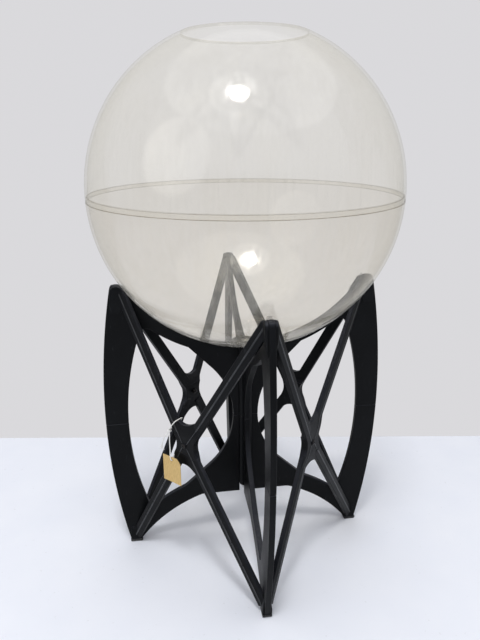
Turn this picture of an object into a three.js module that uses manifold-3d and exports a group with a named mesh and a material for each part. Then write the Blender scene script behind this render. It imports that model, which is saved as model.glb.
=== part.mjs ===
// A clear globe vessel with a wide round mouth, resting in a black four-legged plastic stand.
// Millimetres, +Z up. The origin is on the floor, on the axis of the globe and the stand.
// One leg points along -Y (front), the others along +X, +Y and -X.
import * as THREE from 'three';
import { mergeVertices } from 'three/addons/utils/BufferGeometryUtils.js';
import Module from 'manifold-3d';

const wasm = await Module();
wasm.setup();

// ---- driving dimensions ----
const GAP = 0.3; // clearance kept between pieces that touch

const GLOBE_R = 200; // outside of the globe
const GLOBE_Z = 521; // height of its centre
const WALL = 3;
const MOUTH_R = 76; // outside radius of the rim of the mouth
const LAP = 5.5; // how far the dome's skirt laps over the bowl's lip
const SKIRT = 1.4; // thickness of the skirt, flush with the outside of the globe
const GLOBE_SEGMENTS = 48;
const GLOBE_RINGS = 12;

const SEAM_Z = 202; // where the upper and lower halves of the stand meet
const PLATE = 7.5; // thickness of a leg plate
const SEAT = { z: 512, r: 198 }; // concave upper edge of the legs, about the axis
const SEAT_FLAT_Z = 313; // flat of the upper legs at the middle, under the cap
const UNDER = { z: -119, r: 202 }; // concave lower edge of the legs, about the axis
const UNDER_FLAT_Z = 72; // flat of the lower legs at the middle
const POST_LOW_Z = UNDER_FLAT_Z + 13; // foot of the centre post, recessed between the legs
const BOW_OUT = { r: -760, z: 210, radius: 960 }; // outer edge of a leg, bowed outwards
const BOW_IN = { r: -255.5, z: 199, radius: 424 }; // outer edge of a leg's window
const NECK = { r: 128, z: 204, radius: 110 }; // inner edge of a leg's window
const UPPER_ARM = 17; // depth of the arm under the globe
const LOWER_ARM = 25; // depth of the arm above the floor
const TIP_Z = 405;
const FOOT_PAD_H = 4;

const HUB_HALF = 9; // half the width of the square centre post
const CAP_R = 22; // cap on top of the post
const CAP_LOW_R = 8.8; // cap under the post, between the legs' edges
const CAP_H = 3;
const TIE_R = 3; // M6 tie bolt
const TIE_HOLE_R = 3.4;

const HEAD_W = 15.5; // width of a leg's head with the brace lugs on both sides
const FOOT_W = 13.5; // the same at the foot
const BAY_D = 116; // distance from the axis to the middle of a bay's braces
const NODE_W = -13; // the crossing's offset from the middle of the bay, towards the lower leg number
const ARM_W = 15; // width of a brace arm
const ARM_T = 8; // thickness of a brace arm
const ARM_SKEW = 4; // outer arm stands out, inner arm stands in, by this much
const ARM_LEFT = 11; // an arm's end left of the crossing
const ARM_RIGHT = 14; // an arm's end right of the crossing
const NODE_R = 12;
const TONGUE = 6; // thickness of each half-lap tongue at the crossing

const TAG = { width: 31, height: 39, thickness: 0.7, clip: 6, holeDown: 4.5 };
const STRING_R = 0.6;

// ---- colours and finishes ----
const acrylic = { color: 0xece9e0, roughness: 0.06, metalness: 0, transparent: true, opacity: 0.3 };
const blackPlastic = { color: 0x15171a, roughness: 0.38, metalness: 0 };
const darkRubber = { color: 0x2b2d30, roughness: 0.8, metalness: 0 };
const clearPad = { color: 0xb9bcbc, roughness: 0.3, metalness: 0 };
const zincSteel = { color: 0x8d9094, roughness: 0.35, metalness: 0.9 };
const blackSteel = { color: 0x1b1c1e, roughness: 0.4, metalness: 0.8 };
const kraftCard = { color: 0xc9a870, roughness: 0.9, metalness: 0 };
const cotton = { color: 0xefece4, roughness: 0.95, metalness: 0 };

const object = new THREE.Group();

// ---- helpers ----
function toSolid(geometry) {
  const plain = geometry.clone();
  plain.deleteAttribute('normal');
  plain.deleteAttribute('uv');
  const merged = mergeVertices(plain, 1e-4);
  return new wasm.Manifold(new wasm.Mesh({
    numProp: 3,
    vertProperties: new Float32Array(merged.attributes.position.array),
    triVerts: new Uint32Array(merged.index.array),
  }));
}

function toGeometry(solid) {
  const mesh = solid.getMesh();
  const geometry = new THREE.BufferGeometry();
  geometry.setAttribute('position', new THREE.BufferAttribute(new Float32Array(mesh.vertProperties), 3));
  geometry.setIndex(new THREE.BufferAttribute(new Uint32Array(mesh.triVerts), 1));
  geometry.computeVertexNormals();
  return geometry;
}

function join(...geometries) {
  return geometries.map(toSolid).reduce((a, b) => a.add(b));
}

function cut(solid, ...geometries) {
  return geometries.map(toSolid).reduce((a, b) => a.subtract(b), solid);
}

function place(name, geometry, finish, turn = 0) {
  const mesh = new THREE.Mesh(geometry, new THREE.MeshStandardMaterial(finish));
  mesh.name = name;
  mesh.rotation.z = turn;
  object.add(mesh);
  return mesh;
}

function box(sizeX, sizeY, sizeZ, x, y, z) {
  return new THREE.BoxGeometry(sizeX, sizeY, sizeZ).translate(x, y, z);
}

// a round bar along Z
function rod(radius, low, high, segments = 20) {
  return new THREE.CylinderGeometry(radius, radius, high - low, segments)
    .rotateX(Math.PI / 2)
    .translate(0, 0, (low + high) / 2);
}

// a plate drawn with r outwards and z upwards, stood in the leg's own plane: r runs along -Y
function legPlate(points, thickness) {
  const shape = new THREE.Shape(points.map(([r, z]) => new THREE.Vector2(r, z)));
  const plate = new THREE.ExtrudeGeometry(shape, { depth: thickness, bevelEnabled: false });
  plate.translate(0, 0, -thickness / 2);
  const stand = new THREE.Matrix4().set(0, 0, -1, 0, -1, 0, 0, 0, 0, 1, 0, 0, 0, 0, 0, 1);
  return plate.applyMatrix4(stand);
}

// height of a circle about the axis at radius r; side is -1 for its lower half
const axisArc = (arc, r, side) => arc.z + side * Math.sqrt(arc.r ** 2 - r ** 2);

// radius of a bowed edge at height z
const bowAt = (bow, z) => bow.r + Math.sqrt(bow.radius ** 2 - (z - bow.z) ** 2);

function steps(from, to, count, at) {
  return Array.from({ length: count + 1 }, (_, i) => at(from + (to - from) * i / count));
}

const quarter = Math.PI / 2;
const legNames = ['front', 'right', 'back', 'left'];
const bayNames = ['front_right', 'back_right', 'back_left', 'front_left'];
const legTurn = (k) => k * quarter;
const bayTurn = (k) => (k + 0.5) * quarter;

// ---- globe: a bowl, and a dome whose skirt laps over the bowl's rebated lip ----
function sphereArc(radius, fromAngle, toAngle, count) {
  return steps(fromAngle, toAngle, count, (angle) => (
    new THREE.Vector2(radius * Math.cos(angle), GLOBE_Z + radius * Math.sin(angle))));
}

// the lathe turns about Y, so what it makes is stood up
const turned = (profile) => new THREE.LatheGeometry(profile, GLOBE_SEGMENTS).rotateX(quarter);

const innerR = GLOBE_R - WALL;
const skirtInner = GLOBE_R - SKIRT;
const lapAngle = Math.asin(LAP / GLOBE_R);
const bowlProfile = [
  ...sphereArc(GLOBE_R, -quarter, -lapAngle - 0.0015, GLOBE_RINGS),
  new THREE.Vector2(skirtInner - GAP, GLOBE_Z - LAP - GAP),
  new THREE.Vector2(skirtInner - GAP, GLOBE_Z),
  ...sphereArc(innerR, 0, -quarter, GLOBE_RINGS),
];
place('lower_bowl', turned(bowlProfile), acrylic);

const mouthAngle = Math.acos(MOUTH_R / GLOBE_R);
const rimAngle = mouthAngle - 0.003; // the rim is cut nearly square to the wall
const domeProfile = [
  new THREE.Vector2(skirtInner, GLOBE_Z - LAP),
  ...sphereArc(GLOBE_R, -lapAngle, mouthAngle, GLOBE_RINGS),
  ...sphereArc(innerR, rimAngle, 2 * GAP / GLOBE_R, GLOBE_RINGS),
  new THREE.Vector2(skirtInner, GLOBE_Z + 2 * GAP),
  new THREE.Vector2(skirtInner, GLOBE_Z - LAP),
];
place('upper_dome', turned(domeProfile), acrylic);

// ---- stand: leg plates in upper and lower halves ----
const hubEdge = HUB_HALF + GAP;
const headRound = 5;

function upperLegOutline() {
  const neckLow = NECK.r - Math.sqrt(NECK.radius ** 2 - (SEAM_Z - NECK.z) ** 2);
  const windowTop = { z: SEAT.z, r: SEAT.r + UPPER_ARM };
  const tipR = bowAt(BOW_OUT, TIP_Z - headRound);
  return [
    [hubEdge, SEAM_Z + GAP / 2],
    [neckLow, SEAM_Z + GAP / 2],
    ...steps(180, 128, 9, (deg) => {
      const a = THREE.MathUtils.degToRad(deg);
      return [NECK.r + NECK.radius * Math.cos(a), NECK.z + NECK.radius * Math.sin(a)];
    }).slice(1),
    ...steps(82, 139, 6, (r) => [r, axisArc(windowTop, r, -1)]),
    ...steps(340, SEAM_Z + GAP / 2, 9, (z) => [bowAt(BOW_IN, z), z]),
    ...steps(SEAM_Z + GAP / 2, TIP_Z - headRound, 12, (z) => [bowAt(BOW_OUT, z), z]),
    [tipR - 2, TIP_Z - 1.2],
    [tipR - 5, TIP_Z],
    [tipR - 9, TIP_Z - 0.5],
    ...steps(tipR - 12, CAP_R + 2, 16, (r) => [r, axisArc(SEAT, r, -1)]),
    [CAP_R + 2, SEAT_FLAT_Z],
    [hubEdge, SEAT_FLAT_Z],
  ];
}

function lowerLegOutline() {
  const neckTop = NECK.r - Math.sqrt(NECK.radius ** 2 - (SEAM_Z - NECK.z) ** 2);
  const windowBase = { z: UNDER.z, r: UNDER.r + LOWER_ARM };
  const footZ = FOOT_PAD_H + GAP;
  return [
    [hubEdge, SEAM_Z - GAP / 2],
    [hubEdge, UNDER_FLAT_Z],
    ...steps(55, 160, 14, (r) => [r, Math.min(axisArc(UNDER, r, 1), UNDER_FLAT_Z)]),
    [161, footZ],
    [bowAt(BOW_OUT, footZ), footZ],
    ...steps(14, SEAM_Z - GAP / 2, 10, (z) => [bowAt(BOW_OUT, z), z]),
    ...steps(SEAM_Z - GAP / 2, 66, 9, (z) => [bowAt(BOW_IN, z), z]),
    ...steps(141, 86, 6, (r) => [r, axisArc(windowBase, r, 1)]),
    ...steps(236, 180, 9, (deg) => {
      const a = THREE.MathUtils.degToRad(deg);
      return [NECK.r + NECK.radius * Math.cos(a), NECK.z + NECK.radius * Math.sin(a)];
    }).slice(0, -1),
    [neckTop, SEAM_Z - GAP / 2],
  ];
}

const tenon = { r: 184, width: 12, thickness: 4, depth: 10 };
const peg = { r: 170, headZ: 388, footZ: 18, radius: 2.4, length: 3.2 };

// a round bar across a leg's thickness
function crossPin(radius, from, to, z) {
  return rod(radius, from, to, 12).rotateY(quarter).translate(0, -peg.r, z);
}

const upperLeg = cut(
  join(
    legPlate(upperLegOutline(), PLATE),
    box(tenon.thickness, tenon.width, tenon.depth, 0, -tenon.r, SEAM_Z - tenon.depth / 2 + 1),
  ),
  crossPin(peg.radius + GAP, -PLATE, PLATE, peg.headZ),
);
const lowerLeg = cut(
  toSolid(legPlate(lowerLegOutline(), PLATE)),
  box(tenon.thickness + 2 * GAP, tenon.width + 2 * GAP, tenon.depth, 0, -tenon.r, SEAM_Z - tenon.depth / 2),
  crossPin(peg.radius + GAP, -PLATE, PLATE, peg.footZ),
);
legNames.forEach((name, k) => {
  place(`leg_upper_${name}`, toGeometry(upperLeg), blackPlastic, legTurn(k));
  place(`leg_lower_${name}`, toGeometry(lowerLeg), blackPlastic, legTurn(k));
});

// ---- centre post, in two halves, its caps and the bolt that ties them ----
function hubHalf(low, high) {
  const chamfer = 3;
  const corner = HUB_HALF - chamfer;
  const outline = [
    [HUB_HALF, corner], [corner, HUB_HALF], [-corner, HUB_HALF], [-HUB_HALF, corner],
    [-HUB_HALF, -corner], [-corner, -HUB_HALF], [corner, -HUB_HALF], [HUB_HALF, -corner],
  ];
  const shape = new THREE.Shape(outline.map(([x, y]) => new THREE.Vector2(x, y)));
  const post = new THREE.ExtrudeGeometry(shape, { depth: high - low, bevelEnabled: false }).translate(0, 0, low);
  return toGeometry(cut(toSolid(post), rod(TIE_HOLE_R, low - 1, high + 1)));
}

function cap(radius, low, high) {
  return toGeometry(cut(toSolid(rod(radius, low, high, 36)), rod(TIE_HOLE_R, low - 1, high + 1)));
}

const capTopLow = SEAT_FLAT_Z + GAP;
const capBottomHigh = POST_LOW_Z - GAP;
place('hub_upper', hubHalf(SEAM_Z + GAP / 2, SEAT_FLAT_Z), blackPlastic);
place('hub_lower', hubHalf(POST_LOW_Z, SEAM_Z - GAP / 2), blackPlastic);
place('hub_cap_top', cap(CAP_R, capTopLow, capTopLow + CAP_H), blackPlastic);
place('hub_cap_bottom', cap(CAP_LOW_R, capBottomHigh - CAP_H, capBottomHigh), blackPlastic);

const tieHeadLow = capTopLow + CAP_H + GAP;
const tieEnd = capBottomHigh - CAP_H - 9;
const tieBolt = join(rod(TIE_R, tieEnd, tieHeadLow + 1), rod(6, tieHeadLow, tieHeadLow + 2.6, 24));
place('tie_bolt', toGeometry(tieBolt), zincSteel);
const nutHigh = capBottomHigh - CAP_H - GAP;
const tieNut = cut(toSolid(rod(5.8, nutHigh - 5, nutHigh, 6)), rod(TIE_R + GAP, nutHigh - 6, nutHigh + 1));
place('tie_nut', toGeometry(tieNut), zincSteel);

// ---- pads: clear bumpers on the tips, rubber pads under the feet ----
function bumperOutline() {
  const from = 149;
  const to = 165;
  const ball = { z: GLOBE_Z, r: GLOBE_R + GAP };
  const under = { z: SEAT.z, r: SEAT.r - GAP };
  return [
    ...steps(from, to, 5, (r) => [r, axisArc(under, r, -1)]),
    ...steps(to, from, 5, (r) => [r, axisArc(ball, r, -1)]),
  ];
}

function footPad() {
  const inner = 160;
  const outer = 178;
  const chamfer = 1.5;
  const outline = [
    [inner + chamfer, 0], [outer - chamfer, 0], [outer, chamfer], [outer, FOOT_PAD_H],
    [inner, FOOT_PAD_H], [inner, chamfer],
  ];
  return legPlate(outline, FOOT_W - 1);
}

legNames.forEach((name, k) => {
  place(`tip_bumper_${name}`, legPlate(bumperOutline(), PLATE - 1), clearPad, legTurn(k));
  place(`foot_pad_${name}`, footPad(), darkRubber, legTurn(k));
});

// ---- braces: in each bay an upper V and a lower V turned over, lapped where they cross ----
// In a bay's own frame w runs across the bay, d outwards from the axis and z upwards.
const bayPoint = (w, d, z) => new THREE.Vector3(w, -d, z);

// a straight bar of rectangular section between two points, its width in the plane of the bay
function bar(start, end, width, thickness) {
  const along = end.clone().sub(start);
  const outward = new THREE.Vector3(0, -1, 0);
  const across = new THREE.Vector3().crossVectors(along, outward).normalize();
  const through = new THREE.Vector3().crossVectors(along, across).normalize();
  const bodyGeometry = new THREE.BoxGeometry(width, thickness, along.length());
  const basis = new THREE.Matrix4().makeBasis(across, through, along.clone().normalize());
  basis.setPosition(start.clone().add(end).multiplyScalar(0.5));
  return bodyGeometry.applyMatrix4(basis);
}

// a flat plate drawn in the plane of the bay, from near to far off the axis
function bayPlate(points, near, far) {
  const shape = new THREE.Shape(points.map(([w, z]) => new THREE.Vector2(w, z)));
  const plate = new THREE.ExtrudeGeometry(shape, { depth: far - near, bevelEnabled: false });
  return plate.rotateX(quarter).translate(0, -near, 0);
}

const outerD = BAY_D + ARM_SKEW;
const innerD = BAY_D - ARM_SKEW;
const nearFace = BAY_D - TONGUE - GAP / 2;
const farFace = BAY_D + TONGUE + GAP / 2;
const HEAD_LUG = { z: 398, low: 382, high: 403, width: HEAD_W, pegZ: peg.headZ };
const FOOT_LUG = { z: 12, low: FOOT_PAD_H + GAP, high: 26, width: FOOT_W, pegZ: peg.footZ };
const ARM_END_W = 116; // how far an arm's end lies from the middle of the bay
const lapHalf = 13; // half the height of the lap at the crossing

// a tongue with a round end, reaching past the crossing to half of the joint's thickness
function tongue(sign, near, far) {
  const round = steps(180, 360, 12, (deg) => {
    const a = THREE.MathUtils.degToRad(deg);
    return [NODE_W + NODE_R * Math.cos(a), SEAM_Z + sign * NODE_R * Math.sin(a)];
  });
  const root = SEAM_Z + sign * (lapHalf + 4);
  return bayPlate([...round, [NODE_W + NODE_R, root], [NODE_W - NODE_R, root]], near, far);
}

// a neighbouring leg and all that lies beyond it, in the bay's frame; side is -1 for the lower leg number
function beyondLeg(side) {
  const near = PLATE / 2 + GAP;
  const far = 60;
  return box(near + far, 260, 460, side * (far - near) / 2, -110, 210).rotateZ(side * quarter / 2);
}

// a lug lying against one side of a leg, in the bay's frame, with its peg
function lug(side, width, low, high, pegZ) {
  const thickness = (width - PLATE) / 2;
  const face = PLATE / 2;
  const middle = -side * (face + thickness / 2);
  const pad = box(thickness, 13, high - low, middle, -peg.r, (low + high) / 2);
  const pin = crossPin(peg.radius, face - peg.length, face + thickness / 2, pegZ);
  if (side > 0) pin.rotateZ(Math.PI).translate(0, -2 * peg.r, 0);
  return [pad.rotateZ(side * quarter / 2), pin.rotateZ(side * quarter / 2)];
}

function webOutline(sign) {
  // the triangle between two arms at the crossing; its open side is hollowed by a round
  const reach = 42;
  const spread = 23;
  const left = [NODE_W - spread, SEAM_Z + sign * reach];
  const right = [NODE_W + spread * 1.15, SEAM_Z + sign * reach];
  const sag = 12;
  const hollow = steps(0, 1, 8, (t) => [
    right[0] + (left[0] - right[0]) * t,
    right[1] - sign * sag * 4 * t * (1 - t),
  ]);
  return [[NODE_W - 5, SEAM_Z + sign * lapHalf], [NODE_W + 5, SEAM_Z + sign * lapHalf], ...hollow];
}

function brace(sign) {
  // sign is 1 for the upper brace and -1 for the lower one
  const end = sign > 0 ? HEAD_LUG : FOOT_LUG;
  const lapZ = SEAM_Z + sign * (lapHalf + 5);
  const leftD = sign > 0 ? outerD : innerD;
  const rightD = sign > 0 ? innerD : outerD;
  const arms = [
    bar(bayPoint(-ARM_END_W, BAY_D + 5, end.z), bayPoint(NODE_W - ARM_LEFT, leftD, lapZ), ARM_W, ARM_T),
    bar(bayPoint(ARM_END_W, BAY_D + 5, end.z), bayPoint(NODE_W + ARM_RIGHT, rightD, lapZ), ARM_W, ARM_T),
  ];
  const web = bayPlate(webOutline(sign), BAY_D - 5, BAY_D + 5);
  const shoulder = box(2 * NODE_R, 2 * TONGUE, 12, NODE_W, -BAY_D, SEAM_Z + sign * (lapHalf + 6.2));
  const tongueNear = sign > 0 ? BAY_D + GAP / 2 : nearFace;
  const tongueFar = sign > 0 ? farFace : BAY_D - GAP / 2;
  const low = lug(-1, end.width, end.low, end.high, end.pegZ);
  const high = lug(1, end.width, end.low, end.high, end.pegZ);
  const whole = join(...arms, web, shoulder, tongue(sign, tongueNear, tongueFar), ...low, ...high);
  // the other brace's tongue is cleared, up to this one's shoulder
  const otherNear = sign > 0 ? BAY_D - 30 : BAY_D - GAP / 2;
  const otherFar = sign > 0 ? BAY_D + GAP / 2 : BAY_D + 30;
  const clearance = box(80, otherFar - otherNear, 60, NODE_W, -(otherNear + otherFar) / 2,
    SEAM_Z + sign * (lapHalf - 30));
  const floorCut = box(600, 600, 100, 0, -100, FOOT_LUG.low - 50);
  const slabs = [beyondLeg(-1), beyondLeg(1)].map(toSolid);
  const pins = [low[1], high[1]].map(toSolid);
  const trimmed = slabs.reduce((a, b) => a.subtract(b), cut(whole, clearance, floorCut, nodeBore(2.3)));
  return pins.reduce((a, b) => a.add(b), trimmed);
}

// a round bar through the crossing, along d
function nodeBore(radius, near = BAY_D - 40, far = BAY_D + 40, segments = 16) {
  return rod(radius, near, far, segments).rotateX(quarter).translate(NODE_W, 0, SEAM_Z);
}

const upperBrace = brace(1);
const lowerBrace = brace(-1);
const nodeScrew = join(
  nodeBore(2, nearFace - 4, farFace + 1),
  nodeBore(4, farFace + GAP, farFace + GAP + 2.2, 20),
);
const nodeNut = cut(
  toSolid(nodeBore(4.2, nearFace - GAP - 3, nearFace - GAP, 6)),
  nodeBore(2 + GAP, nearFace - 10, nearFace + 1),
);
bayNames.forEach((name, k) => {
  place(`brace_upper_${name}`, toGeometry(upperBrace), blackPlastic, bayTurn(k));
  place(`brace_lower_${name}`, toGeometry(lowerBrace), blackPlastic, bayTurn(k));
  place(`cross_screw_${name}`, toGeometry(nodeScrew), blackSteel, bayTurn(k));
  place(`cross_nut_${name}`, toGeometry(nodeNut), blackSteel, bayTurn(k));
});

// ---- price tag: a blank card on a cotton string, tied round the front left brace ----
const tagBay = new THREE.Group();
tagBay.rotation.z = bayTurn(3);
object.add(tagBay);
const armLoop = { w: -28.7, d: outerD + 0.1, z: 229.5 }; // middle of the arm where the string goes round it
const knot = bayPoint(-34.5, outerD + 4.5, 220);

function tube(points, radius, stepsAlong) {
  const path = new THREE.CatmullRomCurve3(points);
  const ring = steps(0, 360, 8, (deg) => {
    const a = THREE.MathUtils.degToRad(deg);
    return new THREE.Vector2(radius * Math.cos(a), radius * Math.sin(a));
  }).slice(0, -1);
  return new THREE.ExtrudeGeometry(new THREE.Shape(ring), {
    steps: stepsAlong, bevelEnabled: false, extrudePath: path,
  });
}

function addToBay(name, geometry, finish) {
  const mesh = new THREE.Mesh(geometry, new THREE.MeshStandardMaterial(finish));
  mesh.name = name;
  tagBay.add(mesh);
}

// the loop goes round the outer arm, climbing a little: points across the arm and outwards
const armDirection = Math.atan2(178, 92);
const climb = 0.45;
const loopPoints = [[-10.2, 3.8], [-9.2, 5.4], [-3, 6.2], [4, 6.2], [9, 5], [9.8, 0], [8.6, -8], [4, -10.6], [-5, -10.4],
  [-9.2, -6.5], [-10, -1.5], [-10.1, 1.6]];
addToBay('tag_string_loop', tube(loopPoints.map(([u, d]) => bayPoint(
  armLoop.w + u * (Math.sin(armDirection) - climb * Math.cos(armDirection)),
  armLoop.d + d,
  armLoop.z + u * (Math.cos(armDirection) + climb * Math.sin(armDirection)),
)), STRING_R, 44), cotton);

// the hanging string: a frayed tail, the knot, down to the card's hole and through it, and a short end
const hangPoints = [[-11.5, 4, -25], [-9.6, 4, -19], [-6.2, 3.6, -11], [-2.8, 2.4, -4], [-0.8, 1.4, -2.6],
  [0.4, 1.6, -6], [1.6, 2.2, -16], [2.8, 3.2, -28], [3.7, 4.4, -38], [4.2, 3.6, -42.2], [5, 0.9, -43], [5.8, 0.2, -40],
  [6.6, 0.8, -36], [7.6, 1.4, -33]];
addToBay('tag_string', tube(
  hangPoints.map(([w, d, z]) => knot.clone().add(bayPoint(w, d, z))), STRING_R, 60), cotton);

// the card has one clipped corner and a round hole for the string
function tagCard() {
  const half = TAG.width / 2;
  const outline = [
    [-half, 0], [half, 0], [half, TAG.height - TAG.clip], [half - TAG.clip, TAG.height], [-half, TAG.height],
  ];
  const shape = new THREE.Shape(outline.map(([x, z]) => new THREE.Vector2(x, z)));
  const hole = new THREE.Path();
  hole.absarc(0, TAG.height - TAG.holeDown, 1.6, 0, 2 * Math.PI, true);
  shape.holes.push(hole);
  const card = new THREE.ExtrudeGeometry(shape, { depth: TAG.thickness, bevelEnabled: false, curveSegments: 8 });
  return card.rotateX(quarter);
}
const cardLow = knot.clone().add(bayPoint(4.5, 2.2, -42.6 - TAG.height + TAG.holeDown));
addToBay('tag_card', tagCard().translate(cardLow.x, cardLow.y, cardLow.z), kraftCard);

export default object;
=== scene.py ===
# A clear globe vessel with a wide round mouth, resting in a black four-legged plastic stand.
# Metres, +Z up, the front leg along -Y. Sizes are written in millimetres and brought to metres
# as each piece is finished. A bay is the space between two legs: w across it, d outwards, z up.
import math

import bmesh
import bpy
from mathutils import Euler, Matrix, Vector


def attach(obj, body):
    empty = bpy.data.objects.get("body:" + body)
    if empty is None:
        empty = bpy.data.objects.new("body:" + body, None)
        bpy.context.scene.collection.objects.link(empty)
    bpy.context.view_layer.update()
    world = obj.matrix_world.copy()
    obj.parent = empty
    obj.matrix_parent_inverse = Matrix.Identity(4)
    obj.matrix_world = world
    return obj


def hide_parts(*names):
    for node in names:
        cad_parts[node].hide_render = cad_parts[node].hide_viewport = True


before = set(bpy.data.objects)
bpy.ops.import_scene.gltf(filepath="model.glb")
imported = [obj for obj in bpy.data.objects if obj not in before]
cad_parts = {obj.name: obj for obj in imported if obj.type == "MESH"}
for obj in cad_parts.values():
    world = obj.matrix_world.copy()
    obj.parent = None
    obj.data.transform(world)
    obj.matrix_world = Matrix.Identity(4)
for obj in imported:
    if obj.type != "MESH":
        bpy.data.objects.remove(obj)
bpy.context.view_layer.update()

# ---- camera ----
# A little above the middle of the globe, in front and to the left, looking down at the stand.
lens = bpy.data.cameras.new("camera")
lens.lens = 31.8
lens.sensor_width = 36
camera = bpy.data.objects.new("camera", lens)
camera.location = (-0.1189, -0.7328, 0.6017)
tilt = Euler((math.radians(71.06), 0, -0.1513)).to_matrix()
camera.rotation_euler = (tilt @ Matrix.Rotation(-0.0042, 3, "Z")).to_euler()
bpy.context.scene.collection.objects.link(camera)
bpy.context.scene.camera = camera


# ---- string of the price tag ----
# White two-ply cotton, 1.5 mm thick: a loop tied round the outer arm of the front left brace, and
# a hanging end that runs from its frayed tail over the knot, through the card and a little back up.
class Value:
    """An output of a finish's node; sums, products and powers of it add Math nodes."""

    def __init__(self, finish, socket):
        self.finish = finish
        self.socket = socket

    def maths(self, operation, first, second):
        return self.finish.node("ShaderNodeMath", {"operation": operation}, {0: first, 1: second})

    def __add__(self, other):
        return self.maths("ADD", self, other)

    def __sub__(self, other):
        return self.maths("SUBTRACT", self, other)

    def __rsub__(self, other):
        return self.maths("SUBTRACT", other, self)

    def __mul__(self, other):
        return self.maths("MULTIPLY", self, other)

    def __pow__(self, other):
        return self.maths("POWER", self, other)

    __radd__ = __add__
    __rmul__ = __mul__


class Finish:
    """A material made of nodes. Every node is added by the one method below."""

    def __init__(self, name):
        self.material = bpy.data.materials.new(name)
        self.material.use_nodes = True
        self.tree = self.material.node_tree
        self.tree.nodes.clear()

    def node(self, kind, settings=None, sockets=None, out=0):
        added = self.tree.nodes.new(kind)
        for name, value in (settings or {}).items():
            setattr(added, name, value)
        for name, value in (sockets or {}).items():
            if isinstance(value, Value):
                self.tree.links.new(value.socket, added.inputs[name])
            else:
                added.inputs[name].default_value = value
        return Value(self, added.outputs[out]) if len(added.outputs) else added

    def clouds(self, scale, detail=3, stretch=(1, 1, 1)):
        """Noise of so many spots to the metre, which can be drawn out along an axis."""
        spot = self.node("ShaderNodeTexCoord", out="Object")
        spot = self.node("ShaderNodeMapping", sockets={"Vector": spot, "Scale": stretch})
        return self.node("ShaderNodeTexNoise", sockets={"Vector": spot, "Scale": scale, "Detail": detail})

    def ramp(self, value, low, high, to_low=0.0, to_high=1.0):
        """Carries value from low..high over to to_low..to_high, held at both ends."""
        return self.node("ShaderNodeMapRange", {"clamp": True}, {
            "Value": value, "From Min": low, "From Max": high, "To Min": to_low, "To Max": to_high})

    def tone(self, share, first, second):
        """A colour between two, by a share from 0 to 1."""
        return self.node("ShaderNodeMix", {"data_type": "RGBA"}, {0: share, 6: first, 7: second}, out=2)

    def relief(self, height, depth, strength=1.0):
        """A bump of that depth in metres."""
        return self.node("ShaderNodeBump", sockets={"Height": height, "Distance": depth, "Strength": strength})

    def facing(self, axis="Z"):
        """How far the surface faces along an axis, from -1 to 1."""
        normal = self.node("ShaderNodeNewGeometry", out="Normal")
        return self.node("ShaderNodeSeparateXYZ", sockets={0: normal}, out=axis)

    def principled(self, **sockets):
        return self.node("ShaderNodeBsdfPrincipled", sockets={
            name.replace("_", " "): value for name, value in sockets.items()})

    def close(self, shader):
        self.node("ShaderNodeOutputMaterial", sockets={"Surface": shader})
        return self.material


MM = 0.001
BAY_D = 116
ARM_SKEW = 4
NODE_W = -13
SEAM_Z = 202
BAY_NAMES = ["front_right", "back_right", "back_left", "front_left"]
LEG_NAMES = ["front", "right", "back", "left"]


def bay_point(w, d, z):
    return Vector((w, -d, z))


def bay_turn(k):
    return Matrix.Rotation((k + 0.5) * math.pi / 2, 4, "Z")


def leg_turn(k):
    return Matrix.Rotation(k * math.pi / 2, 4, "Z")


def smooth_path(points, per_span):
    """A Catmull-Rom curve through the points."""
    ends = [2 * points[0] - points[1], *points, 2 * points[-1] - points[-2]]
    path = []
    for i in range(1, len(ends) - 2):
        a, b, c, d = ends[i - 1:i + 3]
        for step in range(per_span):
            t = step / per_span
            path.append(0.5 * (2 * b + (c - a) * t + (2 * a - 5 * b + 4 * c - d) * t ** 2
                               + (3 * b - a - 3 * c + d) * t ** 3))
    return [*path, points[-1].copy()]


def run_length(path):
    return sum((b - a).length for a, b in zip(path, path[1:]))


def tube_rings(path, ring_at):
    """A closed tube along a path. ring_at(share, length) gives its section as (across, up) pairs."""
    shell = bmesh.new()
    total = run_length(path)
    up = Vector((0, 0, 1))
    gone = 0.0
    rings = []
    for i, here in enumerate(path):
        along = (path[min(i + 1, len(path) - 1)] - path[max(i - 1, 0)]).normalized()
        if abs(along.dot(up)) > 0.99:
            up = Vector((1, 0, 0))
        side = along.cross(up).normalized()
        up = side.cross(along).normalized()
        if i:
            gone += (here - path[i - 1]).length
        rings.append([shell.verts.new(here + side * a + up * b) for a, b in ring_at(gone / total, gone)])
    for first, second in zip(rings, rings[1:]):
        for j in range(len(first)):
            k = (j + 1) % len(first)
            shell.faces.new((first[j], first[k], second[k], second[j]))
    shell.faces.new(rings[0][::-1])
    shell.faces.new(rings[-1])
    return shell


def strand(path, radius, lay_length=3.4, points=14):
    """Two plies laid round each other."""
    def ring_at(share, gone):
        ring = []
        for j in range(points):
            angle = 2 * math.pi * j / points
            ply = abs(math.cos(angle - 2 * math.pi * gone / lay_length))
            r = radius * (0.8 + 0.2 * ply)
            ring.append((r * math.cos(angle), r * math.sin(angle)))
        return ring
    return tube_rings(path, ring_at)


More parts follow.
